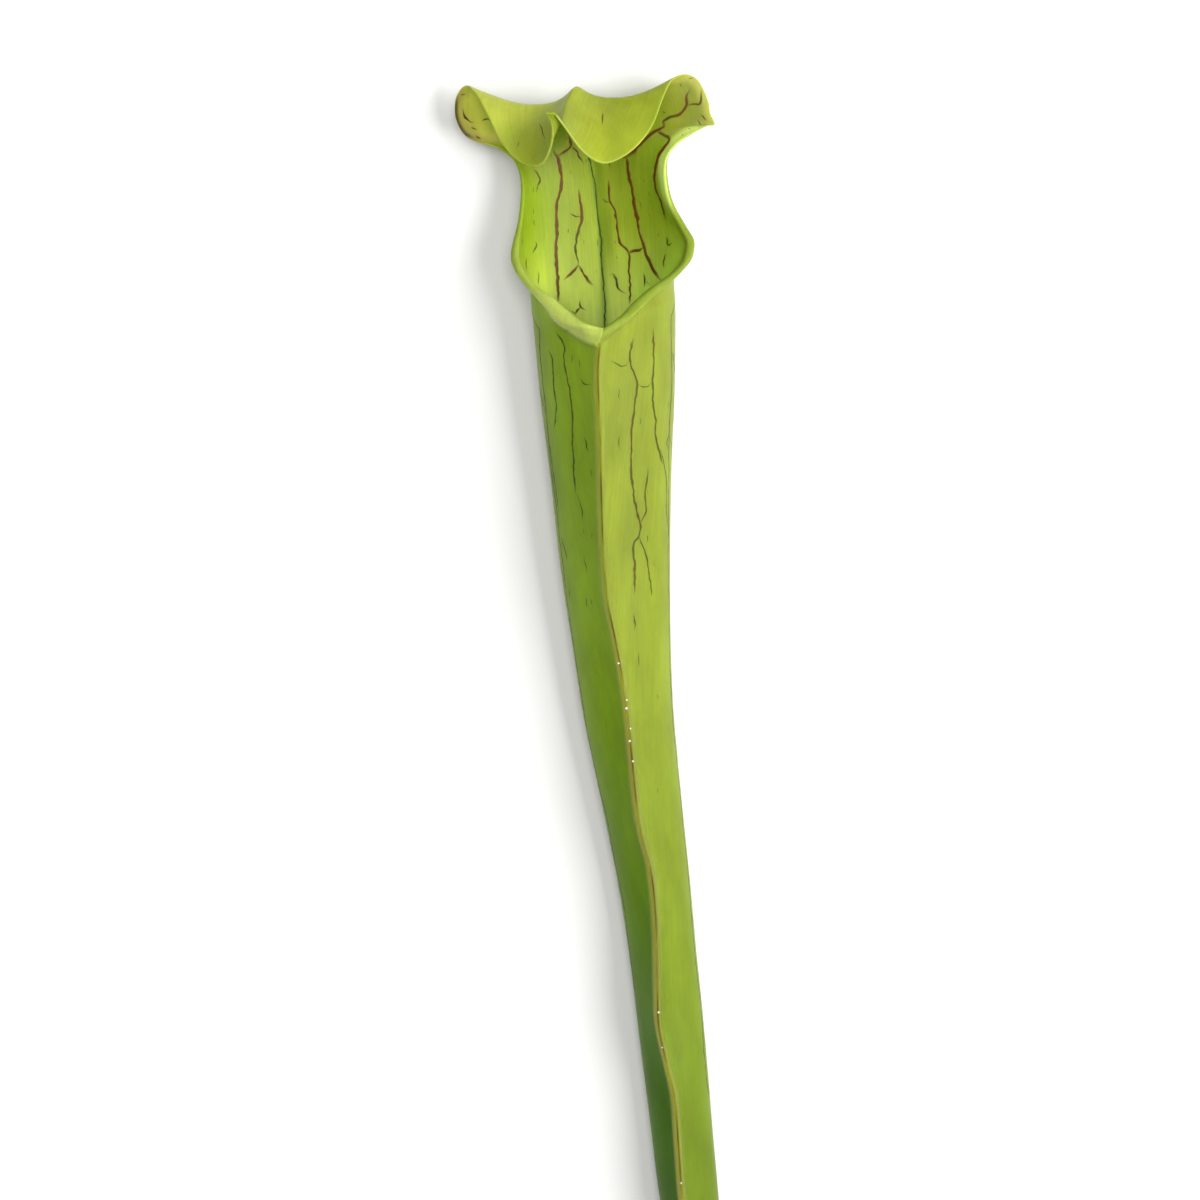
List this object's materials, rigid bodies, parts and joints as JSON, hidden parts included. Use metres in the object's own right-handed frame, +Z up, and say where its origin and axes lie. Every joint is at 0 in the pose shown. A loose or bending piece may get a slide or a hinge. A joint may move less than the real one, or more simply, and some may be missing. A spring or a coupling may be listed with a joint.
{
  "type": "trumpet pitcher leaf",
  "caption": "Trumpet pitcher plant leaf: a slender hollow green tube with a front wing, a rolled V-shaped lip and a ruffled, lobed hood, cut through its stalk and lying on its back.",
  "frame": {"origin": "middle of the leaf's box in X and Y, on the surface it rests on in Z", "axes": "+Y along the tube from the cut stalk to the hood, +X to the picture's right, +Z up, out of the mouth and towards the viewer"},
  "size_m": [0.0596, 0.329, 0.0336],
  "materials": {
    "leaf": null
  },
  "bodies": {
    "root": {"pitcher": "leaf"}
  },
  "joints": []
}
